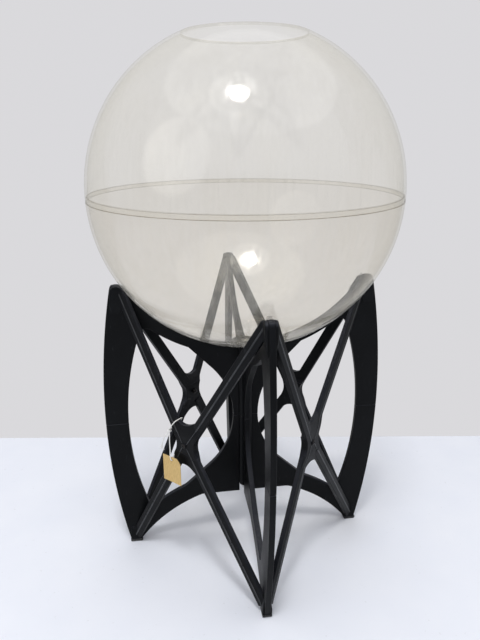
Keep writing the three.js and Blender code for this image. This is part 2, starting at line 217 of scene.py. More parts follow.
def finished(name, shells, finish, body, stands_for=(), turn=None, rim=0.0, crease=38):
    """Joins closed shells, drawn in millimetres, into one piece; rim rounds its edges."""
    whole = bmesh.new()
    for shell in shells:
        part = bpy.data.meshes.new("part")
        shell.to_mesh(part)
        whole.from_mesh(part)
        bpy.data.meshes.remove(part)
    bmesh.ops.recalc_face_normals(whole, faces=whole.faces)
    whole.transform(Matrix.Scale(MM, 4) if turn is None else turn @ Matrix.Scale(MM, 4))
    mesh = bpy.data.meshes.new(name)
    whole.to_mesh(mesh)
    mesh.shade_smooth()
    mesh.set_sharp_from_angle(angle=math.radians(crease))
    for material in finish if isinstance(finish, list) else [finish]:
        mesh.materials.append(material)
    piece = bpy.data.objects.new(name, mesh)
    bpy.context.scene.collection.objects.link(piece)
    if rim:
        soften_edges(piece, rim)
    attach(piece, body)
    if stands_for:
        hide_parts(*stands_for)
    return piece


def soften_edges(piece, rim):
    """Rounds the edges by rim millimetres and keeps the flats flat."""
    edge = piece.modifiers.new("rounded edges", "BEVEL")
    edge.width = rim * MM
    edge.segments = 2
    edge.limit_method = "ANGLE"
    edge.angle_limit = math.radians(40)
    flats = piece.modifiers.new("flat faces", "WEIGHTED_NORMAL")
    flats.keep_sharp = True


cotton = Finish("white cotton string")
fluff = cotton.clouds(1800, 4)
soiling = cotton.clouds(120)
cotton_material = cotton.close(cotton.principled(
    Base_Color=cotton.tone(cotton.ramp(soiling, 0.35, 0.7), (0.93, 0.925, 0.905, 1), (0.8, 0.785, 0.745, 1)),
    Roughness=cotton.ramp(fluff, 0.3, 0.7, 0.85, 1.0),
    Sheen_Weight=0.4,
    Normal=cotton.relief(fluff, 0.00025, 0.7),
))

STRING_R = 0.75
OUTER_D = BAY_D + ARM_SKEW
TAG_TURN = bay_turn(3)
ARM_LOOP = (-28.7, OUTER_D + 0.1, 229.5)
KNOT = bay_point(-34.5, OUTER_D + 4.5, 220)
ARM_DIRECTION = math.atan2(178, 92)
CLIMB = 0.45
loop_points = []
for across, outward in [(-10.2, 3.8), (-9.2, 5.4), (-3, 6.2), (4, 6.2), (9, 5), (9.8, 0), (8.6, -8),
                        (4, -10.6), (-5, -10.4), (-9.2, -6.5), (-10, -1.5), (-10.1, 1.6)]:
    loop_points.append(bay_point(
        ARM_LOOP[0] + across * (math.sin(ARM_DIRECTION) - CLIMB * math.cos(ARM_DIRECTION)),
        ARM_LOOP[1] + outward,
        ARM_LOOP[2] + across * (math.cos(ARM_DIRECTION) + CLIMB * math.sin(ARM_DIRECTION))))
hang_points = [KNOT + bay_point(w, d, z) for w, d, z in [
    (-11.5, 4, -25), (-9.6, 4, -19), (-6.2, 3.4, -10), (-2.6, 1.4, -3.6), (-0.4, 0.2, -1.4), (0.8, 0.9, -4.4),
    (1.6, 2.2, -16), (2.8, 3.2, -28), (3.7, 4.4, -38), (4.2, 3.6, -42.2), (5, 0.9, -43), (5.8, 0.2, -40),
    (6.6, 0.8, -36), (7.6, 1.4, -33)]]


def free_string(name, points, body, stands_for):
    path = smooth_path(points, 12)
    piece = finished(name, [strand(path, STRING_R)], cotton_material, body, [stands_for], TAG_TURN, crease=80)
    in_frame = [TAG_TURN @ (p * MM) for p in path]
    run_length(in_frame)
    return piece


def knot_turns():
    """Three tight turns of the string round itself, about the line that the tag swings on."""
    turns = []
    for step in range(73):
        angle = 2 * math.pi * 3 * step / 72
        turns.append(KNOT + Vector((4.2 * (step / 72 - 0.5), 1.4 * math.cos(angle), 1.4 * math.sin(angle))))
    return turns


def fibre(start, sweep, length):
    """One loose fibre of the frayed tail."""
    path = [start + Vector((sweep * t * t, -0.5 * t, -length * t)) for t in (0, 0.25, 0.5, 0.75, 1)]
    return tube_rings(smooth_path(path, 4), lambda share, gone: [
        (0.3 * (1 - 0.6 * share) * math.cos(a), 0.3 * (1 - 0.6 * share) * math.sin(a)) for a in (0, 2.1, 4.2)])


knot = finished("string_knot", [strand(knot_turns(), 0.7)], cotton_material, "tag", turn=TAG_TURN, crease=80)
fray = finished("string_fray", [
    fibre(hang_points[0] + Vector((0.13 * (i - 6), 0.2 * (i % 3 - 1), 1.2)), (i - 7) * 0.55,
          4.6 + 1.3 * (i * 2 % 3)) for i in range(15)], cotton_material, "tag", turn=TAG_TURN, crease=80)
free_string("tie_loop", loop_points, "stand", "tag_string_loop")

# ---- price tag ----
# A blank card of uncoated kraft board, 31 x 39 mm, one corner clipped, with a punched hole.
kraft = Finish("kraft board")
fibres = kraft.clouds(900, 4, (1, 1, 0.25))
flecks = kraft.ramp(kraft.clouds(1500, 2), 0.66, 0.72)
kraft_colour = kraft.tone(kraft.ramp(fibres, 0.3, 0.7), (0.69, 0.49, 0.205, 1), (0.56, 0.385, 0.15, 1))
kraft_material = kraft.close(kraft.principled(
    Base_Color=kraft.tone(0.55 * flecks, kraft_colour, (0.25, 0.15, 0.06, 1)),
    Roughness=kraft.ramp(fibres, 0.3, 0.7, 0.8, 0.95),
    Normal=kraft.relief(fibres, 0.00006),
))


def card_shell():
    width, height, thickness, clip, hole_down, hole_r = 31, 39, 0.7, 6, 4.5, 1.6
    half = width / 2
    edge = [(-half, 0), (half, 0), (half, height - clip), (half - clip, height), (-half, height)]
    hole = [(hole_r * math.cos(a * math.pi / 12), height - hole_down + hole_r * math.sin(a * math.pi / 12))
            for a in range(24)]
    shell = bmesh.new()
    for loop in (edge, hole):
        corners = [shell.verts.new((x, 0, z)) for x, z in loop]
        for a, b in zip(corners, corners[1:] + corners[:1]):
            shell.edges.new((a, b))
    bmesh.ops.triangle_fill(shell, edges=shell.edges[:], use_beauty=True)
    for x in range(-14, 15, 2):
        everything = shell.verts[:] + shell.edges[:] + shell.faces[:]
        bmesh.ops.bisect_plane(shell, geom=everything, plane_co=(x, 0, 0), plane_no=(1, 0, 0))
    grown = bmesh.ops.extrude_face_region(shell, geom=shell.faces[:])["geom"]
    moved = [v for v in grown if isinstance(v, bmesh.types.BMVert)]
    bmesh.ops.translate(shell, verts=moved, vec=(0, -thickness, 0))
    foot = KNOT + bay_point(4.5, 2.2, hole_down - height - 42.6)
    for v in shell.verts:
        v.co.y -= 0.35 * (v.co.x / half) ** 2
        v.co += foot
    return shell


card = finished("tag_card_piece", [card_shell()], kraft_material, "tag", ["tag_card"], TAG_TURN, crease=30)
free_string("hanging_string", hang_points, "tag", "tag_string")

# ---- clear globe ----
# Two acrylic halves, 3 mm thick and 400 mm across, blown smooth. The dome's skirt laps flush over
# the bowl's lip, which leaves two fine lines round the middle; the round mouth has a polished edge.
GLOBE_R = 200
GLOBE_Z = 521
WALL = 3
MOUTH_R = 76
LAP = 5.5
SKIRT = 1.4
GAP = 0.3


def clear_finish(name, tint, veil, body_colour=(0.95, 0.94, 0.9, 1)):
    """Clear plastic: what lies behind shows through tinted, under a veil of fine marks, and the
    skin shines more edge-on."""
    clear = Finish(name)
    waves = clear.clouds(5.5, 2)
    streaks = clear.clouds(11, 4, (1, 1, 0.35))
    scratches = clear.clouds(150, 5, (1, 1, 0.06))
    marks = 0.6 * clear.ramp(streaks, 0.35, 0.72) + 0.4 * clear.ramp(scratches, 0.45, 0.75)
    edge_on = clear.node("ShaderNodeLayerWeight", sockets={"Blend": 0.5}, out="Facing")
    share = clear.ramp(clear.ramp(marks, 0.1, 0.9, 0.35 * veil, 1.9 * veil) + 0.55 * edge_on ** 5, 0, 1)
    skin = clear.principled(
        Base_Color=clear.tone(clear.ramp(streaks, 0.35, 0.7), body_colour, (0.93, 0.9, 0.82, 1)),
        Roughness=clear.ramp(scratches, 0.35, 0.8, 0.04, 0.2),
        Metallic=0.6,
        Normal=clear.relief(waves, 0.004, 0.5),
    )
    through = clear.node("ShaderNodeBsdfTransparent", sockets={"Color": tint})
    return clear.close(clear.node("ShaderNodeMixShader", sockets={0: share, 1: through, 2: skin}))


dome_material = clear_finish("clear acrylic dome", (1, 0.996, 0.982, 1), 0.075)
bowl_material = clear_finish("clear acrylic bowl", (0.972, 0.962, 0.94, 1), 0.09)
edge_material = clear_finish("acrylic cut edge", (0.46, 0.43, 0.37, 1), 0.2, (0.45, 0.42, 0.35, 1))
rim_material = clear_finish("polished rim", (0.84, 0.83, 0.79, 1), 0.25)


def turned(profile, segments=192, shape=None, edge_faces=(), rim_faces=()):
    """A closed profile of (r, z) turned about the axis; shape(i, angle, r) can bend the round.
    The profile's spans in edge_faces take the second finish and those in rim_faces the third."""
    shell = bmesh.new()
    rings = []
    for s in range(segments):
        angle = 2 * math.pi * s / segments
        ring = []
        for i, (r, z) in enumerate(profile):
            r = shape(i, angle, r) if shape else r
            ring.append(shell.verts.new((r * math.cos(angle), r * math.sin(angle), z)))
        rings.append(ring)
    for s in range(segments):
        first, second = rings[s], rings[(s + 1) % segments]
        for i in range(len(profile)):
            k = (i + 1) % len(profile)
            face = shell.faces.new((first[i], second[i], second[k], first[k]))
            face.material_index = 1 if i in edge_faces else 2 if i in rim_faces else 0
    bmesh.ops.remove_doubles(shell, verts=shell.verts, dist=1e-4)
    return shell


def round_arc(radius, start, end, count):
    return [(radius * math.cos(start + (end - start) * i / count),
             GLOBE_Z + radius * math.sin(start + (end - start) * i / count)) for i in range(count + 1)]


pole = math.pi / 2 - 1e-6
lap_angle = math.asin(LAP / GLOBE_R)
inner_r = GLOBE_R - WALL
skirt_inner = GLOBE_R - SKIRT
bowl_outer = round_arc(GLOBE_R, -pole, -lap_angle - 0.0015, 40)
lip_r = skirt_inner - GAP
bowl_lip = [(lip_r, GLOBE_Z - LAP - GAP), (lip_r, GLOBE_Z - 0.4), (skirt_inner - 0.7, GLOBE_Z)]
bowl_profile = bowl_outer + bowl_lip + round_arc(inner_r, -0.001, -pole, 40)
bowl_edges = (40, 42, 43)
bowl = finished("clear_bowl", [turned(bowl_profile, edge_faces=bowl_edges)],
                [bowl_material, edge_material], "bowl", ["lower_bowl"], crease=40)

mouth_angle = math.acos(MOUTH_R / GLOBE_R)
rim_round = [(MOUTH_R - 0.5, GLOBE_Z + math.sqrt(GLOBE_R ** 2 - MOUTH_R ** 2) - 0.2),
             (MOUTH_R - 0.9, GLOBE_Z + math.sqrt(GLOBE_R ** 2 - MOUTH_R ** 2) - 0.9)]
dome_profile = [(skirt_inner, GLOBE_Z - LAP + 0.3), (skirt_inner + 0.3, GLOBE_Z - LAP),
                *round_arc(GLOBE_R, -lap_angle, mouth_angle, 48), *rim_round,
                *round_arc(inner_r, mouth_angle - 0.006, 2 * GAP / GLOBE_R, 48),
                (skirt_inner, GLOBE_Z + 2 * GAP)]
dome_edges = (0, 1, len(dome_profile) - 2)
dome_rim = (50, 51, 52)
dome = finished("clear_dome", [turned(dome_profile, edge_faces=dome_edges, rim_faces=dome_rim)],
                [dome_material, edge_material, rim_material], "dome", ["upper_dome"], crease=40)

# ---- four legs, each in an upper and a lower half ----
# Flat moulded plates of black plastic, 7.5 mm thick, with a bowed outer edge and one tall window.
# The halves meet in a fine line at mid height, where a tenon inside the bow holds them in line.
black = Finish("black satin plastic")
grain = black.clouds(2600, 2)
flow = black.clouds(22, 4)
scuffs = black.clouds(260, 5, (1, 1, 0.25))
upward = black.facing()
dust = black.ramp(upward, 0.25, 1.0) * black.ramp(flow, 0.35, 0.7) * black.ramp(scuffs, 0.3, 0.7)
black_colour = black.tone(black.ramp(flow, 0.3, 0.7), (0.0014, 0.0017, 0.0021, 1), (0.0034, 0.004, 0.0049, 1))
worn = black.ramp(scuffs, 0.64, 0.78)
black_colour = black.tone(0.35 * worn, black_colour, (0.045, 0.048, 0.052, 1))
# Faces turned upwards are tinted a lighter bluish grey: a painted sheen of the light from above.
black_colour = black.tone(black.ramp(upward, 0.15, 0.6), black_colour, (0.019, 0.0205, 0.027, 1))
black_material = black.close(black.principled(
    Base_Color=black.tone(0.3 * dust, black_colour, (0.12, 0.12, 0.118, 1)),
    Roughness=black.ramp(flow, 0.3, 0.7, 0.34, 0.46) + 0.12 * worn,
    Specular_IOR_Level=0.11,
    Normal=black.relief(grain + 2.5 * black.clouds(70, 2), 0.00005, 0.8),
))

PLATE = 7.5
BOW_OUT = (-760, 210, 960)
BOW_IN = (-255.5, 199, 424)
NECK = (128, 204, 110)
SEAT = (512, 198)
SEAT_FLAT_Z = 313
UNDER = (-119, 202)
UNDER_FLAT_Z = 72
TIP_Z = 405
CAP_R = 22
HUB_EDGE = 9.3
FOOT_Z = 4.3


def bow_at(bow, z):
    centre_r, centre_z, radius = bow
    return centre_r + math.sqrt(radius ** 2 - (z - centre_z) ** 2)


def axis_arc(arc, r, side):
    return arc[0] + side * math.sqrt(arc[1] ** 2 - r ** 2)


def steps(start, end, count, at):
    return [at(start + (end - start) * i / count) for i in range(count + 1)]


def neck_at(degrees):
    angle = math.radians(degrees)
    return (NECK[0] + NECK[2] * math.cos(angle), NECK[1] + NECK[2] * math.sin(angle))


def meeting(before, start, end, after):
    """Where two straight runs, before to start and after to end, would meet."""
    (ax, az), (bx, bz), (cx, cz), (dx, dz) = before, start, end, after
    ux, uz, vx, vz = bx - ax, bz - az, dx - cx, dz - cz
    share = ((cx - bx) * vz - (cz - bz) * vx) / (ux * vz - uz * vx)
    return (bx + share * ux, bz + share * uz)


def eased(first, second, count=7):
    """Joins two runs of points by a rounded corner between them."""
    corner = meeting(first[-2], first[-1], second[0], second[1])
    (ax, az), (cx, cz) = first[-1], second[0]
    turn = []
    for i in range(1, count):
        t = i / count
        turn.append(((1 - t) ** 2 * ax + 2 * t * (1 - t) * corner[0] + t * t * cx,
                     (1 - t) ** 2 * az + 2 * t * (1 - t) * corner[1] + t * t * cz))
    return first + turn + second


def upper_leg_outline():
    low = SEAM_Z + GAP / 2
    neck = [(NECK[0] - math.sqrt(NECK[2] ** 2 - (low - NECK[1]) ** 2), low), *steps(176, 134, 12, neck_at)]
    top = steps(80, 130, 12, lambda r: (r, axis_arc((512, 215), r, -1)))
    bow = steps(333, low, 16, lambda z: (bow_at(BOW_IN, z), z))
    window = eased(eased(neck, top), bow)
    outer = steps(low, TIP_Z - 6, 26, lambda z: (bow_at(BOW_OUT, z), z))
    seat = steps(165, CAP_R + 3, 36, lambda r: (r, axis_arc(SEAT, r, -1)))
    head = eased(outer, [(177, TIP_Z), (172.5, TIP_Z)], 4)
    head = eased(head, seat, 4)
    return [(HUB_EDGE, low), *window, *head, (CAP_R + 1, SEAT_FLAT_Z), (HUB_EDGE, SEAT_FLAT_Z)]


def lower_leg_outline():
    high = SEAM_Z - GAP / 2
    arch = steps(50, 160, 26, lambda r: (r, min(axis_arc(UNDER, r, 1), UNDER_FLAT_Z)))
    under = [(HUB_EDGE, UNDER_FLAT_Z), *arch]
    outer = steps(FOOT_Z, high, 26, lambda z: (bow_at(BOW_OUT, z), z))
    bow = steps(high, 72, 14, lambda z: (bow_at(BOW_IN, z), z))
    base = steps(137, 92, 10, lambda r: (r, axis_arc((-119, 227), r, 1)))
    neck = [*steps(229, 184, 12, neck_at), (NECK[0] - math.sqrt(NECK[2] ** 2 - (high - NECK[1]) ** 2), high)]
    return [(HUB_EDGE, high), *under, *outer, *eased(eased(bow, base, 5), neck)]


def leg_plate(outline, thickness):
    """The outline stood up in the front leg's plane and given its thickness."""
    shell = bmesh.new()
    near = [shell.verts.new((-thickness / 2, -r, z)) for r, z in outline]
    far = [shell.verts.new((thickness / 2, -r, z)) for r, z in outline]
    shell.faces.new(near)
    shell.faces.new(far[::-1])
    for i in range(len(outline)):
        k = (i + 1) % len(outline)
        shell.faces.new((near[i], near[k], far[k], far[i]))
    return shell


for k, name in enumerate(LEG_NAMES):
    for half, outline in (("upper", upper_leg_outline()), ("lower", lower_leg_outline())):
        leg = finished(f"leg_plate_{half}_{name}", [leg_plate(outline, PLATE)], black_material, "stand",
                       [f"leg_{half}_{name}"], leg_turn(k), rim=0.7, crease=30)

# ---- centre post ----
# Two lengths of square black plastic post between the inner edges of the legs, clamped by a round
# cap on top, a small one recessed below, and an M6 bolt through the middle with its nut underneath.
POST_RECESS = 13
CAP_LOW_R = 8.8
CAP_BORE_R = 3.4
CAP_H = 3
for name in ("hub_upper", "hub_lower"):
    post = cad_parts[name]
    post.data.materials.clear()
    post.data.materials.append(black_material)
    soften_edges(post, 0.5)

cap_top_low = SEAT_FLAT_Z + GAP
cap_bottom_high = UNDER_FLAT_Z + POST_RECESS - GAP


def cap_profile(radius, low, side):
    """A dished cap with a rounded rim; side is 1 where its crown is on top."""
    dish = min(7.8, 0.58 * radius)
    drawn = [(CAP_BORE_R, 0), (radius - 0.8, 0), (radius, 0.8), (radius, 1.4), (radius - 0.8, 2.3),
             (0.75 * radius, CAP_H), (0.7 * radius, 2.4), (dish, 2.2), (dish - 0.4, CAP_H),
             (CAP_BORE_R + 0.5, CAP_H), (CAP_BORE_R, 2.5)]
    middle = low + CAP_H / 2
    return [(r, middle + side * (z - CAP_H / 2)) for r, z in drawn]


for name, radius, low, side in (("top", CAP_R, cap_top_low, 1),
                                ("bottom", CAP_LOW_R, cap_bottom_high - CAP_H, -1)):
    cap = finished(f"post_cap_{name}", [turned(cap_profile(radius, low, side), 96)], black_material, "stand",
                   [f"hub_cap_{name}"], crease=30)

zinc = Finish("zinc plated steel")
brushing = zinc.clouds(700, 4, (1, 1, 0.1))
patches = zinc.clouds(90, 3)
zinc_material = zinc.close(zinc.principled(
    Base_Color=zinc.tone(zinc.ramp(patches, 0.3, 0.7), (0.52, 0.53, 0.55, 1), (0.42, 0.42, 0.4, 1)),
    Metallic=1.0,
    Roughness=zinc.ramp(brushing, 0.3, 0.7, 0.25, 0.45),
    Normal=zinc.relief(brushing, 0.00002),
))


def threaded(radius, low, high, pitch, depth):
    """The edge of a threaded shank from high down to low."""
    turns = int((high - low) / pitch)
    edge = []
    for i in range(turns):
        edge += [(radius, high - i * pitch), (radius - depth, high - (i + 0.5) * pitch)]
    return [*edge, (radius - depth, low)]


def hexagon(flats_r, span):
    """Gives the named spans of a turned profile six flats."""
    def shape(i, angle, r):
        if i not in span:
            return r
        off = (angle + math.pi / 6) % (math.pi / 3) - math.pi / 6
        return min(r, flats_r / math.cos(off))
    return shape


def nut(radius, bore, low, high):
    drawn = [(bore, low + 0.4), (bore + 0.5, low), (radius * 0.9, low), (radius, low + 0.6),
             (radius, high - 0.6), (radius * 0.9, high), (bore + 0.5, high), (bore, high - 0.4)]
    return turned(drawn, 72, hexagon(radius * 0.866, (2, 3, 4, 5)))


TIE_R = 3
TIE_THREAD = 15
tie_head_low = cap_top_low + CAP_H + GAP
tie_end = cap_bottom_high - CAP_H - 9
bolt_profile = [(0.001, tie_head_low + 1.2), (2.4, tie_head_low + 1.2), (2.5, tie_head_low + 2.6),
                (4.2, tie_head_low + 2.4), (5.6, tie_head_low + 1.5), (6, tie_head_low + 0.5),
                (5.9, tie_head_low), (TIE_R, tie_head_low), (TIE_R, tie_end + TIE_THREAD + 1),
                *threaded(TIE_R - 0.05, tie_end + 0.6, tie_end + TIE_THREAD, 1, 0.3),
                (2.2, tie_end), (0.001, tie_end)]
bolt = finished("tie_bolt_piece", [turned(bolt_profile, 48)], zinc_material, "stand", ["tie_bolt"], crease=50)
tie_nut_high = cap_bottom_high - CAP_H - GAP
tie_nut = finished("tie_nut_piece", [nut(5.8, 3.3, tie_nut_high - 5, tie_nut_high)], zinc_material, "stand",
                   ["tie_nut"], crease=30)

# ---- tip bumpers and foot pads ----
# Thin clear silicone strips between the legs' tips and the globe, and dark rubber pads under the
# feet, both pushed on. They keep the plates they are moulded to and get soft edges.
silicone = Finish("clear silicone")
cloudy = silicone.clouds(300, 3)
silicone_material = silicone.close(silicone.principled(
    Base_Color=silicone.tone(silicone.ramp(cloudy, 0.3, 0.7), (0.1, 0.102, 0.1, 1), (0.15, 0.15, 0.142, 1)),
    Roughness=silicone.ramp(cloudy, 0.3, 0.7, 0.5, 0.7),
    Alpha=0.18,
    Normal=silicone.relief(cloudy, 0.0001),
))
rubber = Finish("dark rubber")
pores = rubber.clouds(3200, 3)
floor_dust = rubber.clouds(240, 4)
dusty = 0.5 * rubber.ramp(floor_dust, 0.5, 0.75)
rubber_material = rubber.close(rubber.principled(
    Base_Color=rubber.tone(dusty, (0.016, 0.017, 0.019, 1), (0.16, 0.155, 0.145, 1)),
    Roughness=rubber.ramp(pores, 0.3, 0.7, 0.7, 0.9),
    Normal=rubber.relief(pores, 0.00008),
))
for name in LEG_NAMES:
    for node, material in ((f"tip_bumper_{name}", silicone_material), (f"foot_pad_{name}", rubber_material)):
        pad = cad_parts[node]
        pad.data.materials.clear()
        pad.data.materials.append(material)
        soften_edges(pad, 0.4)

# ---- braces ----
# In every bay an upper V and a lower V turned over, moulded in the same black plastic. Their arms
# are bars with a fine ridge, coloured lighter as a painted highlight, that lie against the legs at
# head and foot; where the two cross, each has a web with a half-thick tongue lapped on the other's,
# and rounded corners all round.
ARM_END_W = 116
ARM_END_D = BAY_D + 5
UPPER_END_Z = 398
LOWER_END_Z = 12
LAP_H = 18
ARM_HALF = 7.5
ARM_SECTION = [(-7.5, -3.3), (-6.8, -4), (6.8, -4), (7.5, -3.3), (7.5, 2.0), (6.9, 2.6), (1.0, 3.2),
               (0.45, 3.9), (-0.45, 3.9), (-1.0, 3.2), (-6.9, 2.6), (-7.5, 2.0)]
RIDGE_SPANS = (6, 7, 8)
LEFT_SLOPE = 0.517
RIGHT_SLOPE = 0.646
CORNER_R = 24
SHOULDER_H = 12.8
LEG_CLEAR = PLATE / 2 + GAP
LEAN = 1.4
LEAN_REACH = 22
ARM_D = BAY_D + 0.3
NEAR_LEFT = (NODE_W - 11, LAP_H)
NEAR_RIGHT = (NODE_W + 14, LAP_H)
TONGUE_FACE = BAY_D + 4.5
HEAD_ROWS = [(366, 168, 183.2, 0.5), (374, 164, 182.6, 1.5), (380, 160, 182.2, 3.0),
             (386, 158, 181.8, 3.7), (394, 159.5, 181.2, 3.7), (400, 162.5, 180.4, 3.7),
             (403, 166, 178.6, 3.4), (404.5, 169.5, 175.8, 2.6)]
FOOT_ROWS = [(26, 163, 176.4, 0.4), (18, 161, 176.6, 1.8), (11, 160.6, 177.2, 2.6),
             (FOOT_Z, 160.4, 176.6, 2.7)]
BOSS_RISE = 0.7
CREASE_OUT_H = 36
CREASE_IN_H = 3.4


def cubic(p0, p1, p2, p3, t):
    s = 1 - t
    return tuple(s ** 3 * a + 3 * s * s * t * b + 3 * s * t * t * c + t ** 3 * d
                 for a, b, c, d in zip(p0, p1, p2, p3))


def eased_step(value, low, high):
    t = min(max((value - low) / (high - low), 0), 1)
    return t * t * (3 - 2 * t)


def arm_shell(start, end, side, sign):
    """A ridged bar between two points, mitred against its leg and cut level at the foot."""
    along = (end - start).normalized()
    outward = Vector((0, -1, 0))
    across = along.cross(outward).normalized()
    through = across.cross(along).normalized()
    if through.dot(outward) < 0:
        through = -through
    shell = bmesh.new()
    rings = [[shell.verts.new(end_point + across * a + through * t) for a, t in ARM_SECTION]
             for end_point in (start, end)]
    for j in range(len(ARM_SECTION)):
        k = (j + 1) % len(ARM_SECTION)
        face = shell.faces.new((rings[0][j], rings[0][k], rings[1][k], rings[1][j]))
        face.material_index = int(j in RIDGE_SPANS)
    shell.faces.new(rings[0][::-1])
    shell.faces.new(rings[1])
    leg_normal = Matrix.Rotation(side * math.pi / 4, 3, "Z") @ Vector((-side, 0, 0))
    trims = [(leg_normal * LEG_CLEAR, -leg_normal)]
    if sign < 0:
        trims.append((Vector((0, 0, FOOT_Z)), Vector((0, 0, -1))))
    for point, away in trims:
        everything = shell.verts[:] + shell.edges[:] + shell.faces[:]
        bmesh.ops.bisect_plane(shell, geom=everything, plane_co=point, plane_no=away, clear_outer=True)
        bmesh.ops.holes_fill(shell, edges=[e for e in shell.edges if e.is_boundary], sides=0)
    return shell


def ear_shell(rows, side):
    """The ear that lies against a leg's side, thinning away from the leg's end."""
    shell = bmesh.new()
    rings = []
    for z, r_in, r_out, thick in rows:
        middle = (r_in + r_out) / 2
        section = [(0, r_in), (0.75 * thick, r_in + 0.6), (thick, r_in + 2.2), (thick, middle),
                   (thick, r_out - 1.6), (0.7 * thick, r_out - 0.3), (0, r_out)]
        ring = []
        for x, r in section:
            point = Vector((-side * (LEG_CLEAR + x), -r, z))
            ring.append(shell.verts.new(Matrix.Rotation(side * math.pi / 4, 3, "Z") @ point))
        rings.append(ring)
    for first, second in zip(rings, rings[1:]):
        for j in range(len(first)):
            k = (j + 1) % len(first)
            shell.faces.new((first[j], first[k], second[k], second[j]))
    shell.faces.new(rings[0])
    shell.faces.new(rings[-1][::-1])
    return shell


def lean(w, sign):
    """How far the arms' own plane stands out at the crossing, from the outer arm to the inner."""
    return -sign * LEAN * min(max((w - NODE_W) / LEAN_REACH, -1), 1)


def node_side(h, side):
    """Where the crossing's left or right edge lies, rounded between one brace's arms and the other's."""
    near, slope = (NEAR_LEFT, LEFT_SLOPE) if side < 0 else (NEAR_RIGHT, RIGHT_SLOPE)
    lean_back = math.hypot(1, slope)
    corner = near[0] + side * (ARM_HALF * lean_back - slope * near[1])
    if abs(h) < CORNER_R * slope / lean_back:
        return corner + side * (CORNER_R * lean_back - math.sqrt(CORNER_R ** 2 - h * h))
    return corner + side * slope * abs(h)


def node_front(w, h, sign):
    """How far out the face of the crossing lies; h is the height from the crossing to the arms."""
    if sign < 0 and h < SHOULDER_H:
        return BAY_D - GAP / 2
    share = eased_step(h, 12, 38)
    return TONGUE_FACE * (1 - share) + (ARM_D + lean(w, sign) + 2.4) * share


def node_back(w, h, sign):
    """How far out the crossing's inner side lies."""
    if sign > 0 and h < SHOULDER_H:
        return BAY_D + GAP / 2
    share = eased_step(abs(h), 7, 22)
    return (BAY_D - 5.6) * (1 - share) + (ARM_D + lean(w, sign) - 3.4) * share


def node_shell(sign):
    """One brace's web and lapped tongue: a patch up to the arms, then level rows down to the tongue's end."""
    across_count, down_count = 24, 14
    web_h = SHOULDER_H + 0.1
    levels = (SHOULDER_H - 0.1, 9, 6, 3, 0, -3, -6, -9, -SHOULDER_H + 0.15)
    shell = bmesh.new()

    def top(u):
        return cubic((-36, 50), (-21.3, 19.3), (-1.3, 23.3), (24, 60), u)

    def level(u, h):
        return (node_side(h, -1) * (1 - u) + node_side(h, 1) * u, h)

    def flank(v, side, start, join):
        split = 0.4
        if v < split:
            end = (node_side(join, side) - 1.2 * side, join)
            return tuple(p + (q - p) * v / split for p, q in zip(start, end))
        h = join + (web_h - join) * (v - split) / (1 - split)
        return (node_side(h, side) - 1.2 * side * (1 - v) / (1 - split), h)

    def patch(u, v):
        left, right = flank(v, -1, (-36, 50), 28), flank(v, 1, (24, 60), 30)
        return [(1 - v) * top(u)[i] + v * level(u, web_h)[i] + (1 - u) * left[i] + u * right[i]
                - (1 - u) * (1 - v) * top(0)[i] - u * (1 - v) * top(1)[i]
                - (1 - u) * v * level(0, web_h)[i] - u * v * level(1, web_h)[i] for i in (0, 1)]

    columns = [i / across_count for i in range(across_count + 1)]
    rows = [[patch(u, j / down_count) for u in columns] for j in range(down_count + 1)]
    rows += [[level(u, h) for u in columns] for h in levels]
    faces = {}
    for j, row in enumerate(rows):
        for i, (w, h) in enumerate(row):
            z = SEAM_Z + sign * h
            front, back = node_front(w, h, sign), node_back(w, h, sign)
            faces[i, j] = (shell.verts.new(bay_point(w, front, z)), shell.verts.new(bay_point(w, back, z)))
    last = len(rows) - 1
    for layer in (0, 1):
        for j in range(last):
            for i in range(across_count):
                corners = ((i, j), (i + 1, j), (i + 1, j + 1), (i, j + 1))
                shell.faces.new([faces[corner][layer] for corner in corners])
    rim = ([(i, 0) for i in range(across_count)] + [(across_count, j) for j in range(last)]
           + [(i, last) for i in range(across_count, 0, -1)] + [(0, j) for j in range(last, 0, -1)])
    for here, after in zip(rim, rim[1:] + rim[:1]):
        shell.faces.new((faces[here][0], faces[after][0], faces[after][1], faces[here][1]))
    return shell


def crease_shell(side, start, end, sign):
    """An arm's fine ridge running on over the crossing between two heights."""
    near, slope = (NEAR_LEFT, LEFT_SLOPE) if side < 0 else (NEAR_RIGHT, RIGHT_SLOPE)
    count = 8
    shell = bmesh.new()
    rings = []
    for i in range(count + 1):
        h = start + (end - start) * i / count
        w = near[0] - side * slope * (near[1] - abs(h))
        front = node_front(w, h, sign)
        rings.append([shell.verts.new(bay_point(w + off, front + up, SEAM_Z + sign * h))
                      for off, up in ((-1.1, -1), (-0.5, 0.5), (0.5, 0.5), (1.1, -1))])
    for first, second in zip(rings, rings[1:]):
        for j in range(4):
            k = (j + 1) % 4
            shell.faces.new((first[j], first[k], second[k], second[j])).material_index = 1
    shell.faces.new(rings[0])
    shell.faces.new(rings[-1][::-1])
    return shell


# The ridge is coloured lighter than the rest of the black plastic: a painted highlight, the fine bright line
# where light catches the bead.
ridge = Finish("black ridge with painted highlight")
ridge_highlight_patches = ridge.clouds(90, 4)
ridge_highlight_material = ridge.close(ridge.principled(
    Base_Color=ridge.tone(ridge.ramp(ridge_highlight_patches, 0.35, 0.65), (0.009, 0.0105, 0.0125, 1), (0.036, 0.039, 0.042, 1)),
    Roughness=ridge.ramp(ridge_highlight_patches, 0.3, 0.7, 0.25, 0.4),
    Normal=ridge.relief(ridge_highlight_patches, 0.00003),
))
lay_down = Matrix.Rotation(math.pi / 2, 4, "X")


def boss_shell():
    """The raised round seat of the crossing's screw."""
    face = TONGUE_FACE + BOSS_RISE
    shell = turned([(2.4, face - 2.2), (4.6, face - 2.2), (4.2, face - 0.3), (3.9, face), (2.4, face)], 40)
    shell.transform(Matrix.Translation((NODE_W, 0, SEAM_Z)) @ lay_down)
    return shell


